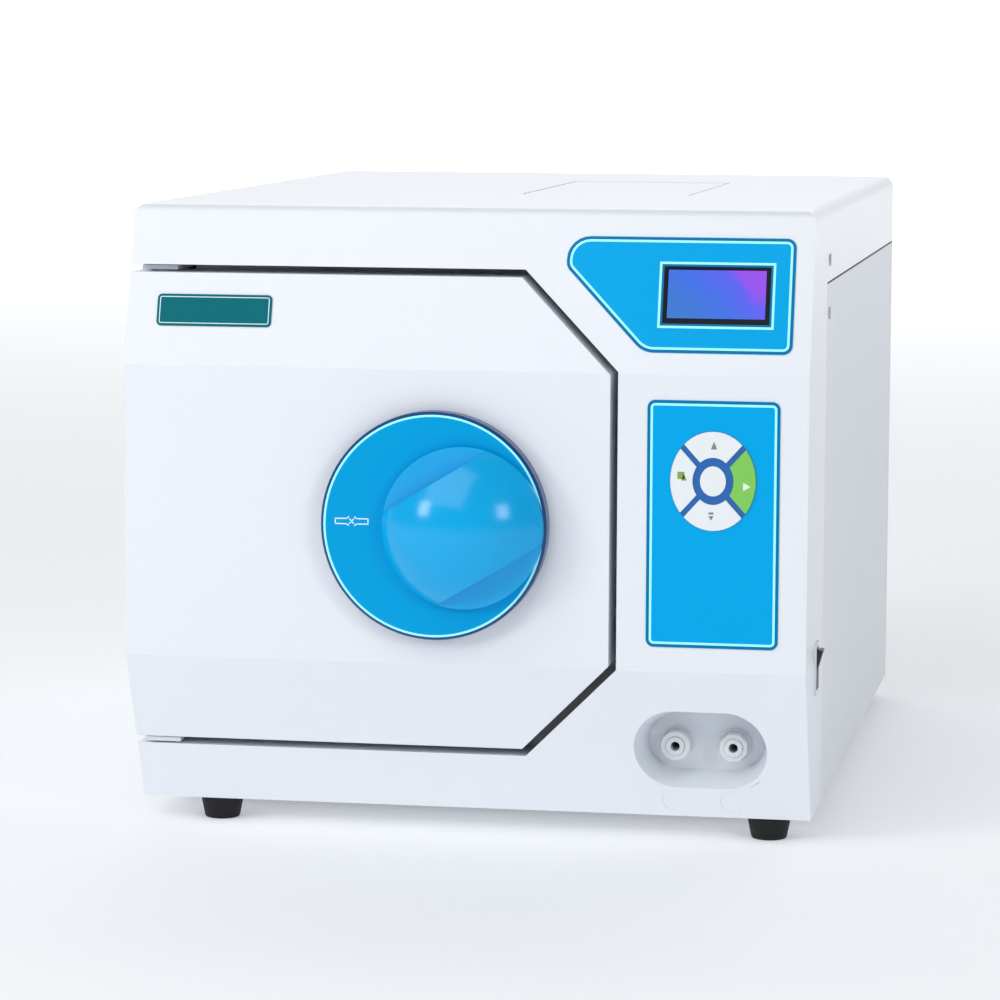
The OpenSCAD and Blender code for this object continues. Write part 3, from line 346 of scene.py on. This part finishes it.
# %% Soft edges
SHARP, SLIGHT_FOLD = 30, 6   # degrees
LARGE_FACE = 0.0015          # square metres
WHOLE_FACE = math.radians(0.4)


def merged_copy(node):
    """A bmesh of a node's solid with shared corners and whole flat faces."""
    bm = bmesh.new()
    bm.from_mesh(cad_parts[node].data)
    bmesh.ops.remove_doubles(bm, verts=bm.verts, dist=1e-6)
    bmesh.ops.dissolve_limit(bm, angle_limit=WHOLE_FACE, use_dissolve_boundaries=False,
                             verts=bm.verts, edges=bm.edges)
    return bm


def pick_edges(bm, sharp):
    """Weights for the edges to round: over sharp degrees, or folds between large faces."""
    weight = bm.edges.layers.float.new("bevel_weight_edge")
    for edge in bm.edges:
        if len(edge.link_faces) == 2:
            fold = math.degrees(edge.calc_face_angle(0))
            large = min(face.calc_area() for face in edge.link_faces) > LARGE_FACE
            edge[weight] = 1.0 if fold > sharp or (large and fold > SLIGHT_FOLD) else 0.0


def piece_from(bm, name, body, materials, nodes=(), radius=0.0, segments=2, sharp=SHARP):
    """Makes the bmesh a piece that rides on a body and stands for the given nodes."""
    mesh = bpy.data.meshes.new(name)
    if radius:
        pick_edges(bm, sharp)
    for face in bm.faces:
        face.smooth = True
    bm.to_mesh(mesh)
    bm.free()
    for material in materials:
        mesh.materials.append(material)
    piece = bpy.data.objects.new(name, mesh)
    scene.collection.objects.link(piece)
    if radius:
        bevel = piece.modifiers.new("soft_edges", "BEVEL")
        bevel.width = radius * MM
        bevel.segments = segments
        bevel.limit_method = "WEIGHT"
        bevel.miter_outer = "MITER_ARC"
        normals = piece.modifiers.new("flat_faces", "WEIGHTED_NORMAL")
        normals.mode = "FACE_AREA"
        normals.weight = 50
    else:
        mesh.set_sharp_from_angle(angle=math.radians(32))
    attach(piece, body)
    if nodes:
        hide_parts(*nodes)
    return piece


def softened(node, body, slot, material, radius, sharp=SHARP):
    """The node's own shape with small rounded edges."""
    return piece_from(merged_copy(node), node + "_soft", body, [material], [node], radius,
                      sharp=sharp)


SOFT = [
    ("door_cover", "door", "white_moulding", WHITE, 1.2),
    ("left_side_panel", "cabinet", "white_panel", PANEL, 0.4),
    ("right_side_panel", "cabinet", "white_panel", PANEL, 0.4),
    ("rear_panel", "cabinet", "white_panel", PANEL, 0.3),
    ("hinge_brackets", "cabinet", "white_panel", PANEL, 0.4),
    ("lock_keeper", "cabinet", "dark_steel", DARK_STEEL, 0.4),
    ("lock_slide", "lock_slide", "steel_sheet", STEEL, 0.4),
    ("feet", "cabinet", "foot_rubber", FOOT, 1.6),
    ("knob", "knob", "knob_blue", KNOB_BLUE, 0.8, 24),
    ("power_rocker", "power_rocker", "black_plastic", BLACK, 0.5),
    ("drain_couplers", "cabinet", "coupler_black", COLLAR, 0.3),
    ("release_sleeve_left", "release_sleeve_left", "sleeve_white", COLLAR, 0.5),
    ("release_sleeve_right", "release_sleeve_right", "sleeve_white", COLLAR, 0.7),
]
for row in SOFT:
    piece = softened(*row)
    print(piece.name, len(piece.data.polygons), "faces")

# %% [markdown]
# ## Cover seams
# Two joints on top of the machine show as dark lines, and their shade is painted: a black strip
# lies in the groove between the top cover and each side panel, and the upright faces of the narrow
# gap round the filling lid are painted black.

# %% Cover seams
def shade_lined(node, body, radius, low, high):
    """The node's softened shape with its upright faces inside a box painted black, as painted shade
    of the gap.
    """
    bm = merged_copy(node)
    for face in bm.faces:
        middle = face.calc_center_median()
        inside = all(a < b < c for a, b, c in zip(low, middle, high))
        # The gap's upright faces get the black material: painted shade of the gap.
        face.material_index = 1 if inside and abs(face.normal.z) < 0.2 else 0
    return piece_from(bm, node + "_soft", body, [WHITE, SEAM_SHADE], [node], radius)


SHADE_STRIP_HEIGHT, SHADE_STRIP_DEPTH = 1.4, 0.4   # mm, in a groove 0.6 mm deep
lid_low, lid_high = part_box("filling_lid")
reach = Vector((2, 2, 2)) * MM
shade_lined("filling_lid", "filling_lid", 0.3, lid_low - reach, lid_high + reach)
shade_lined("top_cover", "cabinet", 0.4, lid_low - reach, lid_high + reach)
# A black strip in each groove stands for the groove's shade: painted shade.
shade_strips = bmesh.new()
for panel in ("left_side_panel", "right_side_panel"):
    low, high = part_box(panel)
    outer = low.x if low.x < 0 else high.x
    seam = Matrix.Translation((outer - math.copysign(SHADE_STRIP_DEPTH * MM, outer), (low.y + high.y) / 2,
                               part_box("top_cover")[0].z - SHADE_STRIP_HEIGHT / 2 * MM))
    bmesh.ops.create_cube(shade_strips, size=1, matrix=seam @ Matrix.Diagonal(
        (SHADE_STRIP_DEPTH * MM, high.y - low.y - SHADE_STRIP_DEPTH * MM, SHADE_STRIP_HEIGHT * MM, 1)))
piece_from(shade_strips, "seam_shade_strips", "cabinet", [SEAM_SHADE])

# %% [markdown]
# ## Front moulding
# The bezel and the well are one moulding on the real machine. The two solids are joined with an
# exact Boolean, after the well grows a little in the lower panel's plane to reach into the bezel,
# and its floor is drawn in so that its walls taper as a mould needs. The join is then rounded like
# the other covers, and the well's mouth with it.

# %% Front moulding
WELL_FLOOR = (76 / 86, 37 / 53.6)   # how far the floor draws in across and up
WELL_GROWTH = (1.004, 1.006, 1)     # across, up and out of the lower panel
WELL_SINK = 0.02                    # mm below the panel, so that no two faces coincide
FLOOR_PART = 4.5                    # mm of the well's back that count as its floor


def combined(first, second, operation):
    """The exact Boolean of two bmeshes, as a new bmesh."""
    objects = []
    for bm in (first, second):
        mesh = bpy.data.meshes.new("operand")
        bm.to_mesh(mesh)
        bm.free()
        objects.append(bpy.data.objects.new("operand", mesh))
        scene.collection.objects.link(objects[-1])
    boolean = objects[0].modifiers.new("boolean", "BOOLEAN")
    boolean.operation = operation
    boolean.solver = "EXACT"
    boolean.object = objects[1]
    done = bmesh.new()
    done.from_object(objects[0], bpy.context.evaluated_depsgraph_get())
    for each in objects:
        bpy.data.objects.remove(each)
    bmesh.ops.remove_doubles(done, verts=done.verts, dist=4e-5)
    bmesh.ops.dissolve_limit(done, angle_limit=WHOLE_FACE, verts=done.verts, edges=done.edges)
    return done


def leaning_axes(bm):
    """Axes on the moulding's largest face that looks down and forwards, from its middle."""
    lower = max((f for f in bm.faces if f.normal.y < -0.5 and f.normal.z < -0.2),
                key=lambda f: f.calc_area())
    outward = lower.normal.normalized()
    right = Vector((1, 0, 0))
    turned = Matrix((right, outward.cross(right), outward)).transposed()
    return Matrix.Translation(lower.calc_center_median()) @ turned.to_4x4()


bezel = merged_copy("front_bezel")
panel = leaning_axes(bezel)
well_low, well_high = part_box("drain_well")
well_centre = (well_low + well_high) / 2
well = merged_copy("drain_well")
in_panel = panel.to_3x3().to_4x4()
bmesh.ops.scale(well, vec=WELL_GROWTH, verts=well.verts,
                space=(Matrix.Translation(well_centre) @ in_panel).inverted())
bmesh.ops.translate(well, vec=panel.col[2].to_3d() * -WELL_SINK * MM, verts=well.verts)
for vert in well.verts:
    if vert.co.y > well_high.y - FLOOR_PART * MM:
        vert.co.x = well_centre.x + (vert.co.x - well_centre.x) * WELL_FLOOR[0]
        vert.co.z = well_centre.z + (vert.co.z - well_centre.z) * WELL_FLOOR[1]
moulding = combined(bezel, well, "UNION")
print("front moulding:", len(moulding.faces), "faces")

# %% [markdown]
# Under the well sit two shallow round marks, where the mould's pins met the plastic. They are cut
# square to the lower panel, whose own face gives the direction.

# %% Pin marks
PIN_R, PIN_DEEP, PIN_UP = 7.8, 0.5, 11.6
outward = panel.col[2].to_3d()
pins = bmesh.new()
for coupler in ("release_sleeve_left", "release_sleeve_right"):
    low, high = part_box(coupler)
    spot = cab((low.x + high.x) / 2 / MM, 0, PIN_UP)
    spot.y += (panel.translation - spot).dot(outward) / outward.y
    spot += outward * (1 - PIN_DEEP) * MM
    bmesh.ops.create_cone(pins, cap_ends=True, segments=48, radius1=PIN_R * MM, radius2=PIN_R * MM,
                          depth=2 * MM, matrix=Matrix.Translation(spot) @ in_panel)
moulding = combined(moulding, pins, "DIFFERENCE")
piece_from(moulding, "front_moulding", "cabinet", [WHITE],
           ["front_bezel", "drain_well"], 0.9, 3)

# %% [markdown]
# ## Printed films
# The display surround and the key field are polyester films printed from behind: a dark edge, a
# thin light line with a painted glow, and the blue field. Insetting the film's front face step by
# step gives each band its own faces, and so its own finish, with lines that follow every corner.

# %% Printed films
def rounded_plate(axes, size, radius):
    """A plate with rounded corners in the given axes, its front face on their origin."""
    bm = bmesh.new()
    bmesh.ops.create_grid(bm, x_segments=1, y_segments=1, size=0.5)
    bmesh.ops.scale(bm, vec=(size.x, size.y, 1), verts=bm.verts)
    bmesh.ops.bevel(bm, geom=bm.verts[:], offset=radius * MM, offset_type="OFFSET", segments=8,
                    profile=0.5, affect="VERTICES", material=-1)
    grown = bmesh.ops.extrude_face_region(bm, geom=bm.faces[:])
    bmesh.ops.translate(bm, vec=(0, 0, -size.z), verts=[
        each for each in grown["geom"] if isinstance(each, bmesh.types.BMVert)])
    bmesh.ops.transform(bm, matrix=axes, verts=bm.verts)
    bmesh.ops.recalc_face_normals(bm, faces=bm.faces)
    return bm


def banded(node, body, base, bands, radius=None):
    """The node's plate with bands along its edges, (width in mm, material) from the edge in."""
    axes, size = plate_axes(node)
    bm = rounded_plate(axes, size, radius) if radius else merged_copy(node)
    front = [face for face in bm.faces if face.normal.dot(axes.col[2].to_3d()) > 0.99]
    for place, (width, material) in enumerate(bands):
        ring = bmesh.ops.inset_region(bm, faces=front, thickness=width * MM, depth=0,
                                      use_boundary=True, use_even_offset=True)
        for face in ring["faces"]:
            face.material_index = place + 1
    return piece_from(bm, node + "_film", body,
                      [base] + [material for width, material in bands], [node])


BANDS = [(2.0, FILM_EDGE), (1.5, FILM_LINE_GLOW)]
print(banded("display_overlay", "cabinet", FILM, BANDS).name)
print(banded("keypad_overlay", "cabinet", FILM, BANDS, 5).name)
print(banded("brand_plate", "door", BADGE, [(1.6, BADGE), (0.5, INK_WHITE_GLOW)]).name)

# %% [markdown]
# ## Display
# The liquid crystal display glows from blue on its lower left to violet on its upper right. Its
# glass is the window's own face, grown a little to cover the cut in the film. One inset leaves the
# printed black frame, which is wider along the bottom, a second one a small step, and the inner
# face gets a glow whose colour follows its place on the panel.

# %% Display
def screen_finish(axes, size):
    """Glowing glass: colour runs from the lower left corner to the upper right one."""
    material = finish("display_glow", (0.02, 0.03, 0.10), 0.5, 0.1, shine=0.1)
    tree = material.node_tree
    shader = tree.nodes["Principled BSDF"]
    coords = tree.nodes.new("ShaderNodeTexCoord")
    mapping = tree.nodes.new("ShaderNodeMapping")
    mapping.vector_type = "TEXTURE"
    mapping.inputs["Location"].default_value = axes.translation
    mapping.inputs["Rotation"].default_value = axes.to_euler()
    tree.links.new(coords.outputs["Object"], mapping.inputs["Vector"])
    split = tree.nodes.new("ShaderNodeSeparateXYZ")
    tree.links.new(mapping.outputs["Vector"], split.inputs["Vector"])
    along = tree.nodes.new("ShaderNodeMath")
    along.operation = "MULTIPLY_ADD"
    along.inputs[1].default_value = 0.78 / size.x
    along.inputs[2].default_value = 0.5
    tree.links.new(split.outputs["X"], along.inputs[0])
    across = tree.nodes.new("ShaderNodeMath")
    across.operation = "MULTIPLY_ADD"
    across.inputs[1].default_value = 0.42 / size.y
    tree.links.new(split.outputs["Y"], across.inputs[0])
    tree.links.new(along.outputs[0], across.inputs[2])
    cloud = noise(tree, 45.0, 1.0)
    wander = tree.nodes.new("ShaderNodeMath")
    wander.operation = "MULTIPLY_ADD"
    wander.inputs[1].default_value = 0.3
    tree.links.new(cloud.outputs["Fac"], wander.inputs[0])
    tree.links.new(across.outputs[0], wander.inputs[2])
    ramp = tree.nodes.new("ShaderNodeValToRGB")
    stops = [(0.25, (0.04, 0.20, 0.62)), (0.6, (0.05, 0.16, 0.80)), (0.88, (0.12, 0.11, 0.90)),
             (1.0, (0.34, 0.07, 0.86))]
    while len(ramp.color_ramp.elements) < len(stops):
        ramp.color_ramp.elements.new(0.5)
    for element, (place, colour) in zip(ramp.color_ramp.elements, stops):
        element.position = min(place, 1.0)
        element.color = (*colour, 1)
    tree.links.new(wander.outputs[0], ramp.inputs["Fac"])
    tree.links.new(ramp.outputs["Color"], shader.inputs["Emission Color"])
    shader.inputs["Emission Strength"].default_value = 0.9
    return material


WINDOW_GROWTH, WINDOW_PROUD = 1.4, 0.06   # mm wider and higher, and mm out of the film
FRAME_WIDTH, FRAME_RISE = 2.4, 0.7        # mm of black frame, and mm the glass sits high in it
STEP_WIDTH, STEP_DEPTH = 0.5, 0.25        # mm of the small step down to the glass
window_axes, window_size = plate_axes("lcd_window")
window = merged_copy("lcd_window")
outward = window_axes.col[2].to_3d()
up_face = window_axes.col[1].to_3d()
bmesh.ops.scale(window, space=window_axes.inverted(), verts=window.verts, vec=(
    1 + WINDOW_GROWTH * MM / window_size.x, 1 + WINDOW_GROWTH * MM / window_size.y, 1))
bmesh.ops.translate(window, vec=outward * WINDOW_PROUD * MM, verts=window.verts)
glass = [face for face in window.faces if face.normal.dot(outward) > 0.99]
bmesh.ops.inset_region(window, faces=glass, thickness=FRAME_WIDTH * MM, depth=0,
                       use_boundary=True, use_even_offset=True)
bmesh.ops.translate(window, verts=list({v for f in glass for v in f.verts}),
                    vec=up_face * FRAME_RISE * MM)
bmesh.ops.inset_region(window, faces=glass, thickness=STEP_WIDTH * MM, depth=-STEP_DEPTH * MM,
                       use_boundary=True, use_even_offset=True)
for face in glass:
    face.material_index = 1
piece_from(window, "display_glass", "cabinet",
           [BEZEL_BLACK, screen_finish(window_axes, window_size)], ["lcd_window"])
print("display window, mm:", [round(side / MM, 1) for side in window_size])

# %% [markdown]
# ## Turned pieces
# The escutcheon is turned like on a lathe: a few profile points in millimetres, spun about an
# axis that runs front to back. Bands of faces get their finish by how far out they lie.

# %% Turned pieces
def turned(profile, across, up, steps=96):
    """A bmesh of a profile of (radius, back) millimetres, spun about a front to back axis."""
    bm = bmesh.new()
    points = [bm.verts.new((radius * MM, back * MM, 0)) for radius, back in profile]
    lines = [bm.edges.new(pair) for pair in zip(points, points[1:])]
    bmesh.ops.spin(bm, geom=points + lines, axis=(0, 1, 0), cent=(0, 0, 0), dvec=(0, 0, 0),
                   angle=2 * math.pi, steps=steps, use_merge=True, use_duplicate=False)
    bmesh.ops.remove_doubles(bm, verts=bm.verts, dist=1e-6)
    bmesh.ops.recalc_face_normals(bm, faces=bm.faces)
    bmesh.ops.translate(bm, verts=bm.verts, vec=cab(across, 0, up))
    return bm


disc_low, disc_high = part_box("escutcheon")
disc_r = (disc_high.x - disc_low.x) / 2 / MM
disc_x = (disc_high.x + disc_low.x) / 2 / MM
disc_z = ((disc_high.z + disc_low.z) / 2 - bench_gap) / MM
disc_front = (disc_low.y - front_y) / MM
RIM_BAND, LINE_BAND = 1.9, 3.3   # mm in from the edge where the rim's painted shade and the light line end
DISC_BACK = -0.05                # mm, just clear of the door
disc = turned([(0, disc_front), (disc_r - LINE_BAND, disc_front), (disc_r - RIM_BAND, disc_front),
               (disc_r - 0.7, disc_front + 0.3), (disc_r, disc_front + 1.2),
               (disc_r, DISC_BACK), (disc_r - 3, DISC_BACK), (0, DISC_BACK)], disc_x, disc_z)
# The outer band, the bevel and the side wall get the navy, which is painted shade of the raised
# disc's edge.
for face in disc.faces:
    middle = face.calc_center_median() - cab(disc_x, 0, disc_z)
    out = disc_r - Vector((middle.x, middle.z)).length / MM
    face.material_index = 2 if out < RIM_BAND else 1 if out < LINE_BAND else 0
piece_from(disc, "escutcheon_disc", "door", [DISC_BLUE, FILM_LINE_GLOW, RIM_SHADE],
           ["escutcheon"])
print("escutcheon, mm:", round(2 * disc_r, 1))

# %% [markdown]
# ## Bolt mark
# A small outline of a bolt on the escutcheon tells which way the knob locks. It is a printed mark,
# so each stroke is a flat shape scaled, turned and given the thickness of ink and varnish.

# %% Bolt mark
def mark(name, body, material, shapes, front):
    """Thin printed shapes, each (sides, width, height, turn, across, up) in mm and degrees."""
    bm = bmesh.new()
    for sides, width, height, turn, across, up in shapes:
        square = sides == 4
        made = bmesh.ops.create_circle(bm, cap_ends=True, segments=sides,
                                       radius=math.sqrt(0.5) if square else 0.5)
        bmesh.ops.rotate(bm, verts=made["verts"],
                         matrix=Matrix.Rotation(math.radians(45 if square else 0), 3, "Z"))
        bmesh.ops.transform(
            bm, verts=made["verts"],
            matrix=Matrix.Translation(cab(across, front, up)) @ Matrix.Rotation(math.pi / 2, 4, "X")
            @ Matrix.Rotation(math.radians(turn), 4, "Z")
            @ Matrix.Diagonal((width * MM, height * MM, 1, 1)))
    thick = bmesh.ops.extrude_face_region(bm, geom=bm.faces[:])
    bmesh.ops.translate(bm, verts=[v for v in thick["geom"] if isinstance(v, bmesh.types.BMVert)],
                        vec=(0, -0.1 * MM, 0))
    bmesh.ops.recalc_face_normals(bm, faces=bm.faces)
    return piece_from(bm, name, body, [material])


bolt_x, bolt_z = disc_x - 53, disc_z + 2
STROKE = 0.7   # mm
strokes = []
for side in (-1, 1):
    strokes += [(4, STROKE, 3.8, 0, bolt_x + side * 10.7, bolt_z),
                (4, 4.6, 0.65, 48 * side, bolt_x, bolt_z)]
    for level in (-1, 1):
        strokes += [(4, 7.6, STROKE, 0, bolt_x + side * 7.1, bolt_z + 1.7 * level),
                    (4, 2.2, STROKE, -38 * side * level, bolt_x + side * 2.7,
                     bolt_z + 2.2 * level)]
# The white ink of the mark carries a painted glow.
mark("bolt_mark", "door", INK_WHITE_GLOW, strokes, disc_front - 0.02)

# %% [markdown]
# ## Keys
# The four keys are domed sectors over a dark blue disc, which shows between them as dividers.
# Each takes its solid's outline, a soft edge and a small generic mark: an arrowhead up, a pale
# arrowhead on the green key, and two little blocks for menu and back.

# %% Keys
key_centre = Vector((162.25, 225))
key_front = (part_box("key_up")[0].y - front_y) / MM
backing = bmesh.new()
film_front = (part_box("keypad_overlay")[0].y - front_y) / MM
made = bmesh.ops.create_circle(backing, cap_ends=True, segments=72, radius=MM)
bmesh.ops.transform(backing, verts=made["verts"],
                    matrix=Matrix.Translation(cab(key_centre.x, film_front - 0.04, key_centre.y))
                    @ Matrix.Rotation(math.pi / 2, 4, "X") @ Matrix.Diagonal((27.6, 31.9, 1, 1)))
thick = bmesh.ops.extrude_face_region(backing, geom=backing.faces[:])
bmesh.ops.translate(backing, vec=(0, 0.03 * MM, 0),
                    verts=[v for v in thick["geom"] if isinstance(v, bmesh.types.BMVert)])
bmesh.ops.recalc_face_normals(backing, faces=backing.faces)
piece_from(backing, "key_dividers", "cabinet", [KEY_BARS])
KEYS = {"up": KEY_WHITE, "left": KEY_WHITE, "right": KEY_GREEN, "down": KEY_WHITE,
        "centre": KEY_WHITE}
for side, material in KEYS.items():
    softened("key_" + side, "key_" + side, "key_green" if side == "right" else "key_white",
             material, 0.35)
mark("key_up_mark", "key_up", ICON_GREY,
     [(3, 4.6, 6.4, 0, key_centre.x + 0.5, key_centre.y + 22)], key_front)
mark("key_right_mark", "key_right", ICON_PALE,
     [(3, 6.2, 6.2, -90, key_centre.x + 20.8, key_centre.y - 3)], key_front)
mark("key_left_mark", "key_left", ICON_GREEN,
     [(4, 4.4, 4.6, 0, key_centre.x - 20.4, key_centre.y + 3.4),
      (3, 4.2, 5.6, 0, key_centre.x - 18.4, key_centre.y + 1.6)], key_front)
mark("key_down_mark", "key_down", ICON_GREY,
     [(4, 3.2, 1.3, 0, key_centre.x - 1, key_centre.y - 20.4),
      (3, 3.8, 3.6, 180, key_centre.x - 1, key_centre.y - 23)], key_front)
print("keys:", len(KEYS))

# %% [markdown]
# ## Finishes for the solids that stay
# The solids inside the machine keep their exact shape. Each gets the finish of its real material.

# %% Finishes for the solids that stay
KEPT = {
    STEEL: "base_tray screws flange_bolts lock_guides door_back_cover mains_inlet",
    DARK_STEEL: "front_frame chamber_saddles door_frame",
    STAINLESS: "chamber pressure_plate tray_rack trays",
    ALUMINIUM: "condenser vacuum_pump lock_cam",
    SILICONE: "door_seal",
    BRASS: "valve_block safety_valve rear_fittings",
    RED: "safety_valve_cap",
    TANK: "water_tank waste_tank",
    HOSE: "drain_hoses",
    HEATER: "heater_band",
    WOOL: "insulation_jacket",
    BOARD: "control_board mains_board lcd_module",
    PUMP: "water_pump",
    BLACK: "cooling_fan fan_rotor",
    PANEL: "power_switch_body",
}
for material, names in KEPT.items():
    for name in names.split():
        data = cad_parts[name].data
        data.materials.clear()
        data.materials.append(material)
shown = [n for n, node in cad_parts.items() if not node.hide_render]
print("kept solids:", len(shown))
